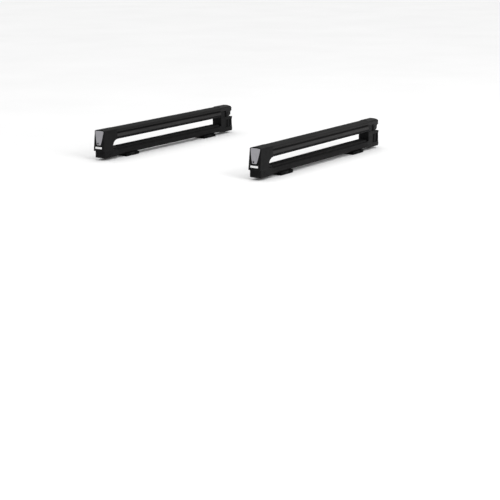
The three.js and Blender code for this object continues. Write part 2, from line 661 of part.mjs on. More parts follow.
// The arm's far end: a hood over the hinge, with two cheeks inside it that hold the pin.
function hingeCap() {
  const half = HOOD_HALF;
  const near = ARM_FAR_Y + GAP;
  const side = [
    [near, COLUMN_TOP_Z + 1.3],
    [395, COLUMN_TOP_Z + 1.3],
    ...arc(HINGE_Y, HINGE_Z, CHEEK_RADIUS, 239, 308, 8),
    [HINGE_Y + 18, HINGE_Z - 11],
    ...arc(HINGE_Y, HOOD_ROUND_Z, HOOD_RADIUS, -8, 78, 7),
    [392, HOOD_Z],
    [368, HOOD_Z],
    [near, CROWN_Z + 0.6],
  ];
  const front = mirrored([...crownHalf(HOOD_Z, half, 6), [half, 70], [0, 70]]);
  const profile = common(alongX(side, -half - 1, half + 1), alongY(front, near - 1, HALF_LENGTH + 2));
  const plan = alongZ(nearPlan(-HALF_LENGTH, half, 4), HINGE_Z - 30, HOOD_Z + 1);
  plan.rotateZ(Math.PI);
  const shell = common(profile, plan);
  const roomRadius = 13.5;
  const cavitySide = [
    [near + 6, 60],
    [HALF_LENGTH + 5, 60],
    [HALF_LENGTH + 5, HINGE_Z],
    ...arc(HINGE_Y, HINGE_Z + 2, roomRadius, -5, 90, 6),
    [near + 6, HINGE_Z + 2 + roomRadius],
  ];
  const cavity = alongX(cavitySide, -CHEEK_INNER_X, CHEEK_INNER_X);
  const pinHole = cylinderX(HINGE_PIN_RADIUS + GAP, -half - 1, half - 1.5, HINGE_Y, HINGE_Z, 24);
  const steps = [
    box(-half - 1, -CHEEK_OUTER_X, 390, HALF_LENGTH + 1, 70, HOOD_SKIRT_Z),
    box(CHEEK_OUTER_X, half + 1, 390, HALF_LENGTH + 1, 70, HOOD_SKIRT_Z),
  ];
  const lugs = [
    box(-half + 1.2, -CHEEK_OUTER_X + 0.5, 403, 417, 77.2, 92),
    box(CHEEK_OUTER_X - 0.5, half - 1.2, 403, 417, 77.2, 92),
  ];
  const spigot = box(-15, 15, ARM_FAR_Y - 20, near + 1, 91, 105);
  const neck = box(-15, 15, near - 0.4, POST_NEAR_Y - 0.5, 91, 108);
  const screwHole = cylinderX(SCREW_RADIUS + GAP, -16, -4, ARM_FAR_Y - 10, ARM_SCREW_Z, 12);
  const body = build([shell, neck, spigot], [cavity, pinHole, screwHole, ...steps]);
  return build([body, ...lugs]);
}

// Driven in from the -X side, into a blind hole.
function hingePin() {
  return cylinderX(HINGE_PIN_RADIUS, -HOOD_HALF + 0.2, HOOD_HALF - 1.8, HINGE_Y, HINGE_Z, 24);
}

function latchPin() {
  return cylinderX(LATCH_PIN_RADIUS, -CAP_HALF + 1.8, CAP_HALF - 1.8, HOOK_Y, HOOK_Z, 20);
}

// A short screw driven in along +X, its domed head standing on the -X side of a wall.
function sideScrew(wallX, y, z) {
  const head = cylinderX(HEAD_RADIUS, wallX - 1.8, wallX - GAP, y, z, 16);
  const shank = cylinderX(SCREW_RADIUS, wallX - 1, -5, y, z, 12);
  const socket = cylinderX(1.5, wallX - 2, wallX - 0.7, y, z, 6);
  return build([head, shank], [socket]);
}

// ---------------------------------------------------------------- assembly

const FAR_FOOT_Y = -FOOT_NEAR_Y - FOOT_LENGTH;

const pieces = [
  ['lower_rail', lowerRail(), BLACK_ANODISED],
  ['lower_rubber', lowerRubber(), BLACK_RUBBER],
  ['near_end_block', nearEndBlock(), BLACK_PLASTIC],
  ['striker_plate', strikerPlate(), STEEL],
  ['hinge_post', hingePost(), BLACK_PLASTIC],
  ['near_foot', foot(FOOT_NEAR_Y), BLACK_PLASTIC],
  ['far_foot', foot(FAR_FOOT_Y), BLACK_PLASTIC],
  ['near_foot_pad', footPad(FOOT_NEAR_Y), BLACK_RUBBER],
  ['far_foot_pad', footPad(FAR_FOOT_Y), BLACK_RUBBER],
  ['near_t_bolt', tBolt(FOOT_NEAR_Y), STEEL],
  ['far_t_bolt', tBolt(FAR_FOOT_Y), STEEL],
  ['near_clamp_wheel', clampWheel(FOOT_NEAR_Y), BLACK_PLASTIC],
  ['far_clamp_wheel', clampWheel(FAR_FOOT_Y), BLACK_PLASTIC],
  ['upper_arm', upperArm(), BLACK_ANODISED],
  ['upper_rubber', upperRubber(), BLACK_RUBBER],
  ['arm_end_cap', armEndCap(), BLACK_PLASTIC],
  ['push_button', pushButton(), GREY_PLASTIC],
  ['button_spring', buttonSpring(), STEEL],
  ['latch_hook', latchHook(), STEEL],
  ['latch_pin', latchPin(), STEEL],
  ['lock_cylinder', lockCylinder(), DARK_STEEL],
  ['badge_plate', badgePlate(), WHITE_PLATE],
  ['hinge_cap', hingeCap(), BLACK_PLASTIC],
  ['hinge_pin', hingePin(), STEEL],
  ['end_cap_screw', sideScrew(-ARM_SEAT_X, CAP_INNER_Y + 10, ARM_SCREW_Z), DARK_STEEL],
  ['hinge_cap_screw', sideScrew(-ARM_SEAT_X, ARM_FAR_Y - 10, ARM_SCREW_Z), DARK_STEEL],
  ['end_block_screw', sideScrew(-RAIL_HALF, BLOCK_FAR_Y + 10, RAIL_SCREW_Z), DARK_STEEL],
  ['hinge_post_screw', sideScrew(-RAIL_HALF, POST_BASE_Y - 10, RAIL_SCREW_Z), DARK_STEEL],
];

function carrier(prefix, x) {
  const group = new THREE.Group();
  for (const [name, geometry, finish] of pieces) {
    const mesh = new THREE.Mesh(geometry, new THREE.MeshStandardMaterial(finish));
    mesh.name = `${prefix}_${name}`;
    group.add(mesh);
  }
  group.position.x = x;
  return group;
}

const skiRack = new THREE.Group();
skiRack.add(carrier('front', SPACING / 2));
skiRack.add(carrier('rear', -SPACING / 2));

export default skiRack;
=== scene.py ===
"""Looks for a pair of hinged roof ski carriers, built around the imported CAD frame, +Z up.

Outlines and places within a carrier are in millimetres, and meshes, lights and the camera in metres.
"""
import json
import math

import bmesh
import bpy
from mathutils import Matrix, Vector


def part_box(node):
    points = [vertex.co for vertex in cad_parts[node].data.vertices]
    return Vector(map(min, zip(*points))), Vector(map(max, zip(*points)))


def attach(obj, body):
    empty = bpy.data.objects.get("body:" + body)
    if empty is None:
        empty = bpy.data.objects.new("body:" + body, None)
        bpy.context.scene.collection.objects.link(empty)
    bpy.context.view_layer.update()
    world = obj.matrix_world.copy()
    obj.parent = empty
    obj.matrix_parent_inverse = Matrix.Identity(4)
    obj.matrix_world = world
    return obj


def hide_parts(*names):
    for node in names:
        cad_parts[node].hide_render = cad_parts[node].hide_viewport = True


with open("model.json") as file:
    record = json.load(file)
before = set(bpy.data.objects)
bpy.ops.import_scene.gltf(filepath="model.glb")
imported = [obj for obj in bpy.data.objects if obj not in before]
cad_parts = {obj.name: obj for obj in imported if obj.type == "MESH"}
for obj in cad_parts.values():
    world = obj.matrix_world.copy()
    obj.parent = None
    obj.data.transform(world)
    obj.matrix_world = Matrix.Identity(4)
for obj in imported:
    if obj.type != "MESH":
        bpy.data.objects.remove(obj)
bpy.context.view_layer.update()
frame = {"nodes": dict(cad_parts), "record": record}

MM = 0.001
CARRIERS = ("front", "rear")

# ---------------------------------------------------------------- sizes shared with the frame, in mm

HALF_LENGTH = 435
GAP = 0.3
CAP_INNER_Y = -349
ARM_FAR_Y = 350
BLOCK_FAR_Y = -345
POST_BASE_Y = 342
SLOT_LOW_Z = 44
SLOT_HIGH_Z = 76
RAIL_BASE_Z = 12
RAIL_TOP_Z = 36
LIP_Z = 86.6
CROWN_Z = 122
CROWN_RISE = 4.5
SEAM_Z = 37
WALL = 2.2
LOWER_RUBBER_HALF = 20.3
UPPER_RUBBER_HALF = 22.8
RAIL_HALF = 23.8
ARM_HALF = 24.4
LIP_HALF = 26
NEAR_SLOPE = 11
BUTTON_TOP_Z = 117
BUTTON_BASE_Z = 61
BUTTON_TOP_HALF = 20.9
BUTTON_CROWN = 1.2
BUTTON_PROUD = 1.2
BUTTON_REAR_Y = -414
BUTTON_WALL = 2.6
LOCK_PLACE = (-3.8, 67.5)
LOCK_HOLE_RADIUS = 3.9
PLATE_Z = 50.3
PLATE_HALF = 16.8
PLATE_RISE = 3.9
BOLT_Y = 261
BOLT_HOLE_RADIUS = 3.5
SCREW_SETBACK = 10
SCREW_HOLE_RADIUS = 2.3
SCREW_HEAD_RADIUS = 3.9
ARM_SCREW_Z = 94.5
ARM_SCREW_SEAT_X = 22.8
RAIL_SCREW_Z = 22
ARM_SCREWS_Y = (CAP_INNER_Y + SCREW_SETBACK, ARM_FAR_Y - SCREW_SETBACK)
RAIL_SCREWS_Y = (BLOCK_FAR_Y + SCREW_SETBACK, POST_BASE_Y - SCREW_SETBACK)

# ---------------------------------------------------------------- finer sizes, in mm

CHANNEL_Z = 105  # the channel along the arm's sides
CHANNEL_X = 21.8
ARM_SHOULDER = 5
END_CHAMFER = 0.4
HOLE_SIDES = 32
RUBBER_SLOT_HALF = 8  # the slots that hold the rubber profiles
RUBBER_NECK_HALF = 7.6
RUBBER_FLANGE_HALF = 12
RUBBER_FLANGE = 1.6
RUBBER_END_GAP = 0.5
RIB_COUNT = 5
RIB_DEPTH = 1.9
BUTTON_EDGE = 1.5
BUTTON_DISH = 0.9
BUTTON_FLOOR = 4  # how far behind its face the hollow of its back begins
BUTTON_MIDDLE_Z = 92
BUTTON_CORNER = 5
BUTTON_SHOULDER = 2
BUTTON_BASE_HALF = 8.8
BUTTON_FLARE = 13.1
FLANGE_Y = (-424.4, -422.4)  # the flanges that keep the button in the end cap
FLANGE_BASE_Z = 54.5
FLANGES = ((-18, -9, 84), (9, 18, 84), (-9.5, 9.5, 62))  # each one's left and right edge and its top
PUSHER_HALF = 4  # the finger behind the button that tips the latch hook
PUSHER_Y = (-427, -401.8)
PUSHER_Z = (97.6, 100.4)
LOCK_HOLE_Y = (-440, -418)
PLATE_CORNER = 1.6

# Edges that turn by less than this, in degrees, are shaded smooth.
METAL_SMOOTHING = 24
RUBBER_SMOOTHING = 50
PLASTIC_SMOOTHING = 40

# ---------------------------------------------------------------- studio, in metres and degrees

CAMERA_AZIMUTH = 35.22
CAMERA_ELEVATION = 14.24
CAMERA_ROLL = 0.44
CAMERA_LENS = 92.9
CAMERA_PLACE = (3.0208, -4.211, 0.910)
KEY_PLACE = (4.2, -0.8, 1.9)
KEY_TARGET = (0.3, 0, 0.1)
KEY_SIZE = 2.4
KEY_WATTS = 120
HORIZON_STRENGTH = 0.14
OVERHEAD_STRENGTH = 2.05
FLOOR_HALF = 40
FLOOR_DROP = 0.0005

# ---------------------------------------------------------------- view


def add_camera():
    azimuth = math.radians(CAMERA_AZIMUTH)
    elevation = math.radians(CAMERA_ELEVATION)
    roll = math.radians(CAMERA_ROLL)
    forward = Vector((
        -math.sin(azimuth) * math.cos(elevation),
        math.cos(azimuth) * math.cos(elevation),
        -math.sin(elevation),
    ))
    level = Vector((math.cos(azimuth), math.sin(azimuth), 0))
    upright = level.cross(forward)
    right = level * math.cos(roll) - upright * math.sin(roll)
    up = level * math.sin(roll) + upright * math.cos(roll)
    data = bpy.data.cameras.new("camera")
    data.sensor_width = 36
    data.lens = CAMERA_LENS
    data.clip_end = 200
    camera = bpy.data.objects.new("camera", data)
    bpy.context.scene.collection.objects.link(camera)
    camera.matrix_world = Matrix.Translation(CAMERA_PLACE) @ Matrix((
        (right.x, up.x, -forward.x, 0),
        (right.y, up.y, -forward.y, 0),
        (right.z, up.z, -forward.z, 0),
        (0, 0, 0, 1),
    ))
    bpy.context.scene.camera = camera


def add_key_light():
    data = bpy.data.lights.new("key", "AREA")
    data.shape = "SQUARE"
    data.size = KEY_SIZE
    data.energy = KEY_WATTS
    light = bpy.data.objects.new("key", data)
    bpy.context.scene.collection.objects.link(light)
    light.location = KEY_PLACE
    aim = Vector(KEY_TARGET) - Vector(KEY_PLACE)
    light.rotation_euler = aim.to_track_quat("-Z", "Y").to_euler()


def add_world():
    """A soft studio dome: dim near the horizon and brightest overhead."""
    world = bpy.data.worlds.new("studio")
    bpy.context.scene.world = world
    world.use_nodes = True
    tree = world.node_tree
    direction = tree.nodes.new("ShaderNodeTexCoord")
    split = tree.nodes.new("ShaderNodeSeparateXYZ")
    tree.links.new(direction.outputs["Generated"], split.inputs["Vector"])
    square = tree.nodes.new("ShaderNodeMath")
    square.operation = "POWER"
    square.use_clamp = True
    square.inputs[1].default_value = 2
    tree.links.new(split.outputs["Z"], square.inputs[0])
    strength = tree.nodes.new("ShaderNodeMath")
    strength.operation = "MULTIPLY_ADD"
    strength.inputs[1].default_value = OVERHEAD_STRENGTH
    strength.inputs[2].default_value = HORIZON_STRENGTH
    tree.links.new(square.outputs["Value"], strength.inputs[0])
    background = tree.nodes["Background"]
    background.inputs["Color"].default_value = (1, 1, 1, 1)
    tree.links.new(strength.outputs["Value"], background.inputs["Strength"])


def add_floor():
    mesh = bpy.data.meshes.new("floor")
    corners = [(x * FLOOR_HALF, y * FLOOR_HALF, 0) for x, y in ((-1, -1), (1, -1), (1, 1), (-1, 1))]
    mesh.from_pydata(corners, [], [(0, 1, 2, 3)])
    floor = bpy.data.objects.new("floor", mesh)
    bpy.context.scene.collection.objects.link(floor)
    floor.location.z = -FLOOR_DROP
    floor.data.materials.append(pale_floor())


# ---------------------------------------------------------------- materials


class Nodes:
    """A small builder for one node-based material."""

    def __init__(self, name):
        self.material = bpy.data.materials.new(name)
        self.material.use_nodes = True
        self.tree = self.material.node_tree
        self.shader = self.tree.nodes["Principled BSDF"]
        coordinates = self.tree.nodes.new("ShaderNodeTexCoord")
        self.place = coordinates.outputs["Object"]

    def link(self, source, target):
        self.tree.links.new(source, target)

    def stretched(self, scale):
        """The object's coordinates scaled along each axis, so that a texture can run lengthwise."""
        mapping = self.tree.nodes.new("ShaderNodeMapping")
        mapping.inputs["Scale"].default_value = scale
        self.link(self.place, mapping.inputs["Vector"])
        return mapping.outputs["Vector"]

    def noise(self, scale, detail, vector=None, roughness=0.55):
        node = self.tree.nodes.new("ShaderNodeTexNoise")
        node.inputs["Scale"].default_value = scale
        node.inputs["Detail"].default_value = detail
        node.inputs["Roughness"].default_value = roughness
        self.link(vector or self.place, node.inputs["Vector"])
        return node.outputs["Fac"]

    def voronoi(self, scale):
        node = self.tree.nodes.new("ShaderNodeTexVoronoi")
        node.inputs["Scale"].default_value = scale
        self.link(self.place, node.inputs["Vector"])
        return node.outputs["Distance"]

    def ramp(self, factor, stops):
        """A colour for each factor, from stops of (position, colour)."""
        node = self.tree.nodes.new("ShaderNodeValToRGB")
        elements = node.color_ramp.elements
        while len(elements) < len(stops):
            elements.new(0.5)
        for element, (position, colour) in zip(elements, stops):
            element.position = position
            element.color = (*colour, 1)
        self.link(factor, node.inputs["Fac"])
        return node.outputs["Color"]

    def remap(self, factor, low, high, from_low=0.3, from_high=0.7):
        node = self.tree.nodes.new("ShaderNodeMapRange")
        node.inputs["From Min"].default_value = from_low
        node.inputs["From Max"].default_value = from_high
        node.inputs["To Min"].default_value = low
        node.inputs["To Max"].default_value = high
        self.link(factor, node.inputs["Value"])
        return node.outputs["Result"]

    def height(self):
        """How high a point lies at rest, in metres."""
        split = self.tree.nodes.new("ShaderNodeSeparateXYZ")
        self.link(self.place, split.inputs["Vector"])
        return split.outputs["Z"]

    def mix(self, factor, first, second):
        node = self.tree.nodes.new("ShaderNodeMix")
        node.data_type = "RGBA"
        self.link(factor, node.inputs["Factor"])
        for source, socket in ((first, node.inputs["A"]), (second, node.inputs["B"])):
            if isinstance(source, tuple):
                socket.default_value = (*source, 1)
            else:
                self.link(source, socket)
        return node.outputs["Result"]

    def shaded(self, colour, tones):
        """The colour times the tones."""
        node = self.tree.nodes.new("ShaderNodeMix")
        node.data_type = "RGBA"
        node.blend_type = "MULTIPLY"
        node.inputs["Factor"].default_value = 1
        self.link(colour, node.inputs["A"])
        self.link(tones, node.inputs["B"])
        return node.outputs["Result"]

    def bump(self, height, strength, distance, below=None):
        node = self.tree.nodes.new("ShaderNodeBump")
        node.inputs["Strength"].default_value = strength
        node.inputs["Distance"].default_value = distance
        self.link(height, node.inputs["Height"])
        if below is not None:
            self.link(below, node.inputs["Normal"])
        return node.outputs["Normal"]

    def edges(self, radius, sharpest):
        """1 on the sharpest edges within the radius, 0 on open faces."""
        open_face = 0.995
        bevel = self.tree.nodes.new("ShaderNodeBevel")
        bevel.samples = 6
        bevel.inputs["Radius"].default_value = radius
        geometry = self.tree.nodes.new("ShaderNodeNewGeometry")
        dot = self.tree.nodes.new("ShaderNodeVectorMath")
        dot.operation = "DOT_PRODUCT"
        self.link(bevel.outputs["Normal"], dot.inputs[0])
        self.link(geometry.outputs["Normal"], dot.inputs[1])
        return self.remap(dot.outputs["Value"], 1, 0, sharpest, open_face)

    def product(self, first, second):
        node = self.tree.nodes.new("ShaderNodeMath")
        node.operation = "MULTIPLY"
        self.link(first, node.inputs[0])
        self.link(second, node.inputs[1])
        return node.outputs["Value"]

    def set(self, **values):
        for key, value in values.items():
            self.shader.inputs[key.replace("_", " ")].default_value = value

    def colour(self, source):
        self.link(source, self.shader.inputs["Base Color"])

    def roughness(self, source):
        self.link(source, self.shader.inputs["Roughness"])

    def normal(self, source):
        self.link(source, self.shader.inputs["Normal"])


def shades(colour, low, high):
    """A darker and a lighter shade of the colour."""
    return [tuple(channel * share for channel in colour) for share in (low, high)]


def moulded_plastic(name, colour, rough, gloss):
    """Textured injection-moulded plastic: fine grain, cloudy tone, small scuffs and rubbed edges."""
    n = Nodes(name)
    dark, light = shades(colour, 0.75, 1.3)
    base = n.ramp(n.noise(14, 4), [(0.3, dark), (0.72, light)])
    scuffs = n.remap(n.noise(260, 5, n.stretched((1, 0.25, 1)), 0.7), 0, 0.5, 0.66, 0.78)
    scuffed = n.mix(scuffs, base, (0.045, 0.045, 0.046))
    rubbed = n.product(n.edges(0.0011, 0.86), n.remap(n.noise(120, 5), 0.15, 0.75, 0.42, 0.62))
    n.colour(n.mix(rubbed, scuffed, (0.05, 0.05, 0.052)))
    n.roughness(n.remap(n.noise(55, 4), rough - 0.08, rough + 0.1))
    coarse = n.bump(n.noise(1500, 2), 0.12, 0.0002)
    n.normal(n.bump(n.voronoi(2600), 0.072, 0.00012, coarse))
    n.set(Specular_IOR_Level=gloss)
    return n.material


def anodised_aluminium(name, colour, rough, gloss, painted_arm_light=False):
    """Black anodised extrusion: fine lines along its length, slow cloudy patches, rubbed edges, and on the
    arm painted light by height.
    """
    n = Nodes(name)
    lines = n.noise(900, 3, n.stretched((1, 0.004, 1)), 0.6)
    dark, light = shades(colour, 0.8, 1.25)
    base = n.ramp(lines, [(0.3, dark), (0.7, light)])
    dust = n.remap(n.noise(9, 5, n.stretched((1, 0.35, 1)), 0.6), 0, 0.35, 0.45, 0.8)
    dust_and_painted_light = n.mix(dust, base, tuple(channel * 1.9 for channel in colour))
    # On the arm, painted light by height: a painted highlight on the lip and painted shade in the channels
    # and on the crown.
    if painted_arm_light:
        dust_and_painted_light = arm_painted_light(n, dust_and_painted_light)
    patches = n.remap(n.noise(90, 5, n.stretched((1, 0.2, 1))), 0.1, 0.7, 0.4, 0.65)
    rubbed = n.product(n.edges(0.0007, 0.8), patches)
    n.colour(n.mix(rubbed, dust_and_painted_light, (0.07, 0.068, 0.068)))
    n.roughness(n.remap(n.noise(40, 4, n.stretched((1, 0.08, 1))), rough - 0.06, rough + 0.08))
    n.normal(n.bump(lines, 0.18, 0.00012))
    n.set(Specular_IOR_Level=gloss)
    return n.material


def arm_painted_light(n, colour):
    """Painted light by height: the lip is painted palest as a painted highlight, the channels are painted
    dark as painted shade, and the crown is painted darker as painted shade.
    """
    height = n.remap(n.height(), 0, 1, LIP_Z * MM, CROWN_Z * MM)
    lip, channel, side, crown = ((tone, tone, tone) for tone in (1, 0.06, 0.49, 0.18))
    stops = [(0.3, lip), (0.36, channel), (0.53, channel), (0.56, side), (0.84, side), (0.9, crown)]
    return n.shaded(colour, n.ramp(height, stops))


def ribbed_rubber(name):
    """Dull rubber with a fine tooth and streaks of pale dust."""
    n = Nodes(name)
    base = n.ramp(n.noise(30, 4), [(0.3, (0.003, 0.003, 0.0032)), (0.75, (0.007, 0.007, 0.0072))])
    dust = n.remap(n.noise(420, 5, n.stretched((1, 0.3, 1)), 0.7), 0, 0.3, 0.62, 0.8)
    n.colour(n.mix(dust, base, (0.03, 0.03, 0.029)))
    n.roughness(n.remap(n.noise(120, 4), 0.72, 0.92))
    n.normal(n.bump(n.noise(1900, 3), 0.2, 0.00025))
    n.set(Specular_IOR_Level=0.15)
    return n.material


def grey_button(name):
    """Satin grey plastic with faint darker scuffs."""
    n = Nodes(name)
    colour = (0.31, 0.305, 0.325)
    dark, light = shades(colour, 0.95, 1.05)
    base = n.ramp(n.noise(40, 4), [(0.3, dark), (0.7, light)])
    scuff = n.remap(n.noise(420, 5, n.stretched((0.5, 1, 1.4)), 0.7), 0, 0.35, 0.68, 0.8)
    n.colour(n.mix(scuff, base, (0.225, 0.222, 0.235)))
    n.roughness(n.remap(n.noise(90, 4), 0.38, 0.5))
    n.normal(n.bump(n.noise(2200, 2), 0.08, 0.00015))
    n.set(IOR=1.5)
    return n.material


def blank_plate(name):
    """A smooth white plate under a thin clear coat."""
    n = Nodes(name)
    n.colour(n.ramp(n.noise(60, 4), [(0.3, (0.74, 0.74, 0.745)), (0.7, (0.84, 0.84, 0.84))]))
    n.roughness(n.remap(n.noise(150, 3), 0.26, 0.4))
    n.normal(n.bump(n.noise(1200, 2), 0.05, 0.0001))
    n.set(Coat_Weight=0.3, Coat_Roughness=0.15)
    return n.material


def steel(name, colour, rough):
    """Plated steel with short rolling streaks."""
    n = Nodes(name)
    streaks = n.noise(700, 4, n.stretched((1, 1, 0.05)), 0.6)
    dark, light = shades(colour, 0.8, 1.15)
    n.colour(n.ramp(streaks, [(0.3, dark), (0.7, light)]))
    n.roughness(n.remap(n.noise(160, 4), rough - 0.08, rough + 0.12))
    n.normal(n.bump(streaks, 0.12, 0.0001))
    n.set(Metallic=1.0)
    return n.material


def pale_floor():
    n = Nodes("pale_floor")
    n.colour(n.ramp(n.noise(1.5, 4), [(0.3, (0.79, 0.79, 0.79)), (0.7, (0.82, 0.82, 0.82))]))
    n.set(Roughness=0.75)
    return n.material


MATERIALS = {
    "black_plastic": moulded_plastic("black_plastic", (0.0062, 0.0062, 0.0064), 0.45, 0.07),
    # The arm's material carries painted light by height: a painted highlight on the lip, painted shade in
    # the channels and on the crown.
    "black_anodised": anodised_aluminium(
        "black_anodised", (0.024, 0.0235, 0.0235), 0.48, 0.07, painted_arm_light=True),
    "black_rubber": ribbed_rubber("black_rubber"),
    # A much darker copy of the anodised material for the lower rail: painted shade.
    "painted_shade_rail": anodised_aluminium("painted_shade_rail", (0.0045, 0.0044, 0.0045), 0.5, 0.08),
    "hood_plastic": moulded_plastic("hood_plastic", (0.0115, 0.0112, 0.0114), 0.42, 0.1),
    # A darker plastic for the feet: painted shade.
    "painted_shade_foot_plastic": moulded_plastic("painted_shade_foot_plastic", (0.003, 0.003, 0.0031), 0.6, 0.03),
    "grey_plastic": grey_button("grey_plastic"),
    "white_plate": blank_plate("white_plate"),
    "steel": steel("steel", (0.45, 0.46, 0.47), 0.34),
    "dark_steel": steel("dark_steel", (0.06, 0.06, 0.064), 0.38),
}

# ---------------------------------------------------------------- mesh helpers


def arc(centre_u, centre_v, radius, from_deg, to_deg, steps):
    """Points on an arc, both ends included."""
    points = []
    for i in range(steps + 1):
        angle = math.radians(from_deg + (to_deg - from_deg) * i / steps)
        points.append((centre_u + radius * math.cos(angle), centre_v + radius * math.sin(angle)))
    return points


def smooth_run(points, steps=4):
    """A Catmull-Rom curve through the points, both ends included."""
    padded = [points[0]] + list(points) + [points[-1]]
    run = []
    for i in range(1, len(padded) - 2):
        a, b, c, d = (Vector(p) for p in padded[i - 1:i + 3])
        for k in range(steps):
            t = k / steps
            p = 0.5 * ((2 * b) + (c - a) * t + (2 * a - 5 * b + 4 * c - d) * t * t
                       + (3 * b - a - 3 * c + d) * t * t * t)
            run.append((p.x, p.y))
    run.append(tuple(points[-1]))
    return run


def both_sides(half):
    """A closed section from its +X half, whose points on the middle line aren't repeated."""
    return half + [(-x, z) for x, z in reversed(half) if x > 1e-6]


def new_piece(name, bm, slot, body, node, smooth_deg):
    bmesh.ops.recalc_face_normals(bm, faces=bm.faces)
    mesh = bpy.data.meshes.new(name)
    bm.to_mesh(mesh)
    bm.free()
    piece = bpy.data.objects.new(name, mesh)
    bpy.context.scene.collection.objects.link(piece)
    mesh.materials.append(MATERIALS[slot])
    smooth_by_angle(piece, smooth_deg)
    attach(piece, body)
    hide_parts(node)
    return piece


def smooth_by_angle(piece, degrees):
    """Smooths every edge whose faces turn by less than the angle."""
    mesh = piece.data
    mesh.shade_smooth()
    bm = bmesh.new()
    bm.from_mesh(mesh)
    limit = math.radians(degrees)
    for edge in bm.edges:
        edge.smooth = len(edge.link_faces) == 2 and edge.calc_face_angle(0) < limit
    bm.to_mesh(mesh)
    bm.free()


def add_rings(bm, rings):
    """Joins closed rings of equal length, in mm, and caps both ends."""
    made = [[bm.verts.new(Vector(point) * MM) for point in ring] for ring in rings]
    count = len(made[0])
    for a, b in zip(made, made[1:]):
        for i in range(count):
            j = (i + 1) % count
            bm.faces.new((a[i], a[j], b[j], b[i]))
    bm.faces.new(list(reversed(made[0])))
    bm.faces.new(made[-1])


def add_block(bm, low, high):
    """A box between two corners, in mm."""
    middle = Vector([(a + b) / 2 for a, b in zip(low, high)]) * MM
    size = Vector([b - a for a, b in zip(low, high)]) * MM
    bmesh.ops.create_cube(bm, size=1, matrix=Matrix.Translation(middle) @ Matrix.Diagonal((*size, 1)))


def add_extrusion(bm, section, y_from, y_to, x):
    """A closed section in (x, z), in mm, run along Y with a small chamfer at both ends."""
    count = len(section)
    chamfer = END_CHAMFER * turn(section)
    rings = []
    ends = ((y_from, True), (y_from + END_CHAMFER, False), (y_to - END_CHAMFER, False), (y_to, True))
    for y, shrunk in ends:
        ring = []
        for i, point in enumerate(section):
            here = Vector(point)
            if shrunk:
                along = (Vector(section[(i + 1) % count]) - Vector(section[i - 1])).normalized()
                here = here - Vector((-along.y, along.x)) * chamfer
            ring.append((x + here.x, y, here.y))
        rings.append(ring)
    add_rings(bm, rings)


def turn(section):
    """+1 for a clockwise section and -1 for one that runs the other way."""
    area = sum(a[0] * b[1] - b[0] * a[1] for a, b in zip(section, section[1:] + section[:1]))
    return -1 if area > 0 else 1


def cut(piece, cutters, smooth_deg):
    """Takes the cutters, given as bmeshes, out of the piece for good."""
    for bm in cutters:
        mesh = bpy.data.meshes.new("cutter")
        bm.to_mesh(mesh)
        bm.free()
        cutter = bpy.data.objects.new("cutter", mesh)
        bpy.context.scene.collection.objects.link(cutter)
        modifier = piece.modifiers.new("cut", "BOOLEAN")
        modifier.object = cutter
        modifier.solver = "EXACT"
        bake_modifiers(piece)
        bpy.data.objects.remove(cutter)
    smooth_by_angle(piece, smooth_deg)


def bake_modifiers(piece):
    evaluated = piece.evaluated_get(bpy.context.evaluated_depsgraph_get())
    mesh = bpy.data.meshes.new_from_object(evaluated)
    old = piece.data
    piece.modifiers.clear()
    piece.data = mesh
    bpy.data.meshes.remove(old)


def rod(radius, start, end, turned):
    """A cylinder between two points, in mm, where turned takes the Z axis to its own."""
    middle = Vector([(a + b) / 2 for a, b in zip(start, end)]) * MM
    length = max(b - a for a, b in zip(start, end)) * MM
    bm = bmesh.new()
    bmesh.ops.create_cone(bm, cap_ends=True, segments=HOLE_SIDES, radius1=radius * MM, radius2=radius * MM,
                          depth=length, matrix=Matrix.Translation(middle) @ turned)
    return bm


def rod_x(radius, x_from, x_to, y, z):
    return rod(radius, (x_from, y, z), (x_to, y, z), Matrix.Rotation(math.pi / 2, 4, "Y"))


def rod_y(radius, y_from, y_to, x, z):
    return rod(radius, (x, y_from, z), (x, y_to, z), Matrix.Rotation(math.pi / 2, 4, "X"))


def rod_z(radius, z_from, z_to, x, y):
    return rod(radius, (x, y, z_from), (x, y, z_to), Matrix.Identity(4))


def rounded_cad(piece, width):
    """Rounds the edges of a carried-over CAD piece without touching its own mesh."""
    flat = piece.modifiers.new("flat_faces", "DECIMATE")
    flat.decimate_type = "DISSOLVE"
    flat.angle_limit = math.radians(1)
    bevel = piece.modifiers.new("rounded_edges", "BEVEL")
    bevel.width = width * MM
    bevel.segments = 2
    bevel.limit_method = "ANGLE"
    bevel.angle_limit = math.radians(30)
    normals = piece.modifiers.new("even_shading", "WEIGHTED_NORMAL")
    normals.keep_sharp = True


# ---------------------------------------------------------------- sections


def near_face_y(z):
    return -HALF_LENGTH + NEAR_SLOPE * (z - SEAM_Z) / (CROWN_Z - SEAM_Z)


def crown_half(apex_z, half_width, shoulder, rise):
    """Half of a crowned top, from its apex out to its rounded shoulder."""
    flat_half = half_width - shoulder * 0.75
    radius = (flat_half ** 2 + rise ** 2) / (2 * rise)
    spread = math.degrees(math.asin(flat_half / radius))
    shoulder_z = apex_z - rise - shoulder * 0.95
    top = arc(0, apex_z - radius, radius, 90, 90 - spread, 12)
    return top + arc(half_width - shoulder, shoulder_z, shoulder, 50, 0, 8)


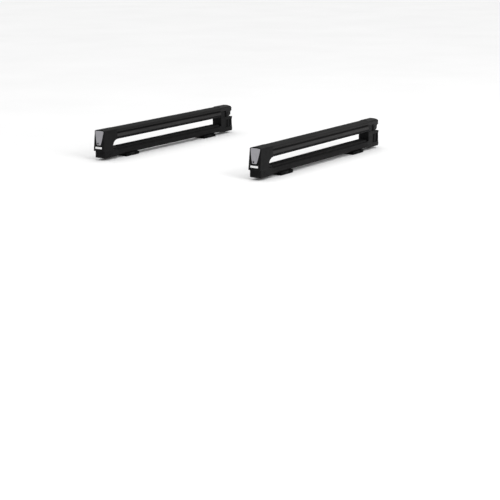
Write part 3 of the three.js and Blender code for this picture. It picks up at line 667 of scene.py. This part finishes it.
def arm_section():
    """The arm's wall: outside it runs from the crown down to the slot, and inside it runs back up."""
    lower_side = smooth_run([
        (CHANNEL_X, CHANNEL_Z - 3.2),
        (CHANNEL_X + 0.5, CHANNEL_Z - 4.4),
        (LIP_HALF - 1.1, CHANNEL_Z - 6.6),
        (LIP_HALF - 0.2, CHANNEL_Z - 8.6),
        (LIP_HALF, LIP_Z + 2.6),
    ])
    outer = crown_half(CROWN_Z, ARM_HALF, ARM_SHOULDER, CROWN_RISE) + [
        (ARM_HALF, CHANNEL_Z + 2),
        (ARM_HALF - 0.2, CHANNEL_Z + 1.4),
        (ARM_HALF - 0.8, CHANNEL_Z + 1.1),
        (CHANNEL_X + 0.4, CHANNEL_Z + 0.9),
        (CHANNEL_X, CHANNEL_Z + 0.5),
    ] + lower_side + arc(LIP_HALF - 0.9, LIP_Z + 0.9, 0.9, 0, -90, 4) + [
        (RUBBER_SLOT_HALF + 4, LIP_Z),
        (RUBBER_SLOT_HALF + 3.4, LIP_Z + 0.5),
        (RUBBER_SLOT_HALF + 0.6, LIP_Z + 0.5),
        (RUBBER_SLOT_HALF, LIP_Z),
    ]
    inner = [
        (RUBBER_SLOT_HALF, LIP_Z + WALL),
        (ARM_HALF - 4.8, LIP_Z + WALL),
        (ARM_HALF - 4.8, CHANNEL_Z - 2),
        (ARM_HALF - 5, CHANNEL_Z + 2),
        (ARM_HALF - 2.8, CHANNEL_Z + 6),
        (ARM_HALF - 5.6, CROWN_Z - 8),
        (9, CROWN_Z - 4.2),
        (0, CROWN_Z - 2.8),
    ]
    return both_sides(outer + inner)


def side_groove(z):
    """A shallow V-shaped line pressed into the rail's side."""
    return [(RAIL_HALF, z + 0.7), (RAIL_HALF - 0.55, z), (RAIL_HALF, z - 0.7)]


def rail_section():
    """The lower rail: a box open along the slot in its top."""
    inner = RAIL_HALF - WALL
    outer = [(RUBBER_SLOT_HALF, RAIL_TOP_Z), (21, RAIL_TOP_Z)]
    outer += arc(RAIL_HALF - 3, RAIL_TOP_Z - 3, 3, 80, 0, 6)
    outer += side_groove(RAIL_TOP_Z - 6.5) + side_groove(RAIL_BASE_Z + 7)
    outer += arc(RAIL_HALF - 4, RAIL_BASE_Z + 4, 4, 0, -90, 7)
    hollow = [
        (inner - 2, RAIL_BASE_Z + WALL),
        (inner, RAIL_BASE_Z + WALL + 2),
        (inner, RAIL_TOP_Z - WALL),
        (RUBBER_SLOT_HALF, RAIL_TOP_Z - WALL),
    ]
    left_outer = [(-x, z) for x, z in reversed(outer)]
    left_hollow = [(-x, z) for x, z in reversed(hollow)]
    return outer + left_outer + left_hollow + hollow


def rib_profile(left, pitch, face, root):
    """One soft rib of a rubber profile, with a fine channel along its middle."""
    rise = face - root
    half = [(0.06, 0), (0.13, 0.22), (0.18, 0.62), (0.24, 0.9), (0.32, 1), (0.44, 1), (0.47, 0.86)]
    whole = half + [(1 - share, height) for share, height in reversed(half)]
    return [(left + pitch * share, root + rise * height) for share, height in whole]


def rubber_section(face_z, rail_z, direction, pad_half):
    """direction is +1 where the ribs point up and -1 where they point down."""
    pitch = 2 * pad_half / RIB_COUNT
    seat_z = rail_z + direction * GAP
    shoulder_z = seat_z + direction * 0.5
    root_z = face_z - direction * RIB_DEPTH
    lip_z = rail_z - direction * (WALL + GAP)
    flange_z = lip_z - direction * RUBBER_FLANGE
    points = [(-pad_half + 0.5, seat_z), (-pad_half, shoulder_z)]
    for i in range(RIB_COUNT):
        points += rib_profile(-pad_half + i * pitch, pitch, face_z, root_z)
    points += [(pad_half, shoulder_z), (pad_half - 0.5, seat_z)]
    foot = [
        (RUBBER_NECK_HALF, seat_z),
        (RUBBER_NECK_HALF, lip_z),
        (RUBBER_FLANGE_HALF, lip_z),
        (RUBBER_FLANGE_HALF, flange_z),
    ]
    return points + foot + [(-x, z) for x, z in reversed(foot)]


# ---------------------------------------------------------------- pieces


def middle_x(prefix):
    """The carrier's own X, in mm."""
    low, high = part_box(prefix + "_lower_rail")
    return (low[0] + high[0]) / 2 / MM


def extruded_piece(prefix, name, section, y_from, y_to, slot, body, smooth_deg=METAL_SMOOTHING):
    bm = bmesh.new()
    add_extrusion(bm, section, y_from, y_to, middle_x(prefix))
    return new_piece(prefix + "_fine_" + name, bm, slot, body, prefix + "_" + name, smooth_deg)


def add_arm(prefix):
    x = middle_x(prefix)
    body = prefix + "_arm"
    y_from, y_to = CAP_INNER_Y + GAP, ARM_FAR_Y
    piece = extruded_piece(prefix, "upper_arm", arm_section(), y_from, y_to, "black_anodised", body)
    seat_x = x - ARM_SCREW_SEAT_X
    cutters = []
    for y in ARM_SCREWS_Y:
        cutters.append(rod_x(SCREW_HEAD_RADIUS, x - LIP_HALF - 1, seat_x, y, ARM_SCREW_Z))
        cutters.append(rod_x(SCREW_HOLE_RADIUS, seat_x - 0.7, seat_x + 6.8, y, ARM_SCREW_Z))
    cut(piece, cutters, METAL_SMOOTHING)


def add_rail(prefix):
    x = middle_x(prefix)
    y_from, y_to = BLOCK_FAR_Y + GAP, POST_BASE_Y - GAP
    piece = extruded_piece(prefix, "lower_rail", rail_section(), y_from, y_to, "black_anodised", "root")
    side_from, side_to = x - RAIL_HALF - 1, x - RAIL_HALF + WALL + 1
    base_from, base_to = RAIL_BASE_Z - 1, RAIL_BASE_Z + WALL + 1
    cutters = [rod_x(SCREW_HOLE_RADIUS, side_from, side_to, y, RAIL_SCREW_Z) for y in RAIL_SCREWS_Y]
    cutters += [rod_z(BOLT_HOLE_RADIUS, base_from, base_to, x, y) for y in (-BOLT_Y, BOLT_Y)]
    cut(piece, cutters, METAL_SMOOTHING)
    # The rail takes its much darker copy of the anodised material: painted shade.
    piece.data.materials[0] = MATERIALS["painted_shade_rail"]


def add_rubbers(prefix):
    gap = RUBBER_END_GAP
    lower = rubber_section(SLOT_LOW_Z, RAIL_TOP_Z, 1, LOWER_RUBBER_HALF)
    y_from, y_to = BLOCK_FAR_Y + gap, POST_BASE_Y - gap
    extruded_piece(prefix, "lower_rubber", lower, y_from, y_to, "black_rubber", "root", RUBBER_SMOOTHING)
    upper = rubber_section(SLOT_HIGH_Z, LIP_Z, -1, UPPER_RUBBER_HALF)
    y_from, y_to = CAP_INNER_Y + gap, ARM_FAR_Y - gap
    body = prefix + "_arm"
    extruded_piece(prefix, "upper_rubber", upper, y_from, y_to, "black_rubber", body, RUBBER_SMOOTHING)


def button_half(z):
    """The tapered button's half-width at a height."""
    share = (z - BUTTON_BASE_Z) / (BUTTON_TOP_Z - BUTTON_BASE_Z)
    return BUTTON_BASE_HALF + BUTTON_FLARE * share ** 0.75


def button_outline(grow):
    """The button seen from its end, every edge moved out by grow."""
    side_top = BUTTON_TOP_Z - 12
    side_low = BUTTON_BASE_Z + BUTTON_CORNER
    steps = 10
    top = crown_half(BUTTON_TOP_Z + grow, BUTTON_TOP_HALF + grow, BUTTON_SHOULDER, BUTTON_CROWN)
    side = []
    for i in range(steps):
        z = side_top + (side_low - side_top) * i / steps
        side.append((button_half(z) + grow, z))
    corner_x = button_half(side_low) - BUTTON_CORNER
    corner = arc(corner_x, side_low, BUTTON_CORNER + grow, 0, -90, 8)
    return both_sides(top + side + corner + [(0, BUTTON_BASE_Z - grow)])


def button_ring(x, grow, inset):
    """A ring that follows the leaning near face, set back from the button's face by inset."""
    return [(x + a, near_face_y(b) - BUTTON_PROUD + inset, b) for a, b in button_outline(grow)]


def dished_ring(x, share, depth):
    """A ring of the button's face, shrunk about its middle and sunk a little."""
    ring = []
    for a, b in button_outline(-BUTTON_EDGE):
        z = BUTTON_MIDDLE_Z + (b - BUTTON_MIDDLE_Z) * share
        ring.append((x + a * share, near_face_y(z) - BUTTON_PROUD + depth, z))
    return ring


def edge_ring(x, degrees):
    """A ring of the rounded edge between the button's face and its sides."""
    angle = math.radians(degrees)
    return button_ring(x, -BUTTON_EDGE * (1 - math.sin(angle)), BUTTON_EDGE * (1 - math.cos(angle)))


def flat_ring(x, grow, y):
    return [(x + a, y, b) for a, b in button_outline(grow)]


def add_button(prefix):
    x = middle_x(prefix)
    bm = bmesh.new()
    face = [dished_ring(x, share, BUTTON_DISH * (1 - share ** 2)) for share in (0.12, 0.4, 0.65, 0.85, 0.95)]
    edge = [edge_ring(x, degrees) for degrees in (0, 22.5, 45, 67.5, 90)]
    rim = [flat_ring(x, 0, BUTTON_REAR_Y), flat_ring(x, -BUTTON_WALL, BUTTON_REAR_Y)]
    add_rings(bm, face + edge + rim + [button_ring(x, -BUTTON_WALL, BUTTON_FLOOR)])
    near, far = FLANGE_Y
    for left, right, top in FLANGES:
        add_block(bm, (x + left, near, FLANGE_BASE_Z), (x + right, far, top))
    near, far = PUSHER_Y
    low, high = PUSHER_Z
    add_block(bm, (x - PUSHER_HALF, near, low), (x + PUSHER_HALF, far, high))
    name = prefix + "_fine_push_button"
    body = prefix + "_button"
    piece = new_piece(name, bm, "grey_plastic", body, prefix + "_push_button", PLASTIC_SMOOTHING)
    lock_x, lock_z = LOCK_PLACE
    hole = rod_y(LOCK_HOLE_RADIUS, *LOCK_HOLE_Y, x + lock_x, lock_z)
    cut(piece, [hole], PLASTIC_SMOOTHING)


def rounded_plate(half_width, half_height, corner):
    return (arc(half_width - corner, half_height - corner, corner, 90, 0, 6)
            + arc(half_width - corner, -half_height + corner, corner, 0, -90, 6)
            + arc(-half_width + corner, -half_height + corner, corner, -90, -180, 6)
            + arc(-half_width + corner, half_height - corner, corner, 180, 90, 6))


def add_plate(prefix):
    """The blank white plate, lying on the leaning near face."""
    x = middle_x(prefix)
    lean = math.atan(NEAR_SLOPE / (CROWN_Z - SEAM_Z))
    rings = []
    for inset, depth in ((2.6, -0.34), (0.5, -0.3), (0.15, -0.22), (0, -0.05), (0, 0.6)):
        ring = []
        corner = max(PLATE_CORNER - inset, 0.4)
        for a, b in rounded_plate(PLATE_HALF - inset, PLATE_RISE - inset, corner):
            y = near_face_y(PLATE_Z) + depth * math.cos(lean) + b * math.sin(lean)
            ring.append((x + a, y, PLATE_Z + b * math.cos(lean) - depth * math.sin(lean)))
        rings.append(ring)
    bm = bmesh.new()
    add_rings(bm, rings)
    name = prefix + "_fine_badge_plate"
    new_piece(name, bm, "white_plate", prefix + "_arm", prefix + "_badge_plate", PLASTIC_SMOOTHING)


# How far the edges of each carried-over CAD piece are rounded, in mm.
ROUNDING = {
    "near_end_block": 1.2,
    "hinge_post": 1.2,
    "arm_end_cap": 1.3,
    "hinge_cap": 1.4,
    "near_foot": 0.8,
    "far_foot": 0.8,
    "near_foot_pad": 0.5,
    "far_foot_pad": 0.5,
    "near_clamp_wheel": 0.35,
    "far_clamp_wheel": 0.35,
    "near_t_bolt": 0.3,
    "far_t_bolt": 0.3,
    "latch_hook": 0.5,
    "striker_plate": 0.4,
    "lock_cylinder": 0.25,
    "hinge_pin": 0.5,
    "latch_pin": 0.3,
    "end_cap_screw": 0.25,
    "hinge_cap_screw": 0.25,
    "end_block_screw": 0.25,
    "hinge_post_screw": 0.25,
}

# CAD pieces whose material differs from the rest of their slot's; the feet's darker plastic is painted
# shade.
FINISHES = {"near_foot": "painted_shade_foot_plastic", "far_foot": "painted_shade_foot_plastic", "hinge_cap": "hood_plastic"}


def finish_cad_nodes():
    slots = {row["node"]: row["material_slot"] for row in frame["record"]["subparts"]}
    for name, piece in frame["nodes"].items():
        kind = name.split("_", 1)[1]
        piece.data.materials.clear()
        piece.data.materials.append(MATERIALS[FINISHES.get(kind, slots[name])])
        for polygon in piece.data.polygons:
            polygon.use_smooth = True
        if kind in ROUNDING:
            rounded_cad(piece, ROUNDING[kind])


bpy.context.scene.view_settings.view_transform = "Standard"
add_camera()
add_world()
add_key_light()
add_floor()
finish_cad_nodes()
for carrier in CARRIERS:
    add_arm(carrier)
    add_rail(carrier)
    add_rubbers(carrier)
    add_button(carrier)
    add_plate(carrier)
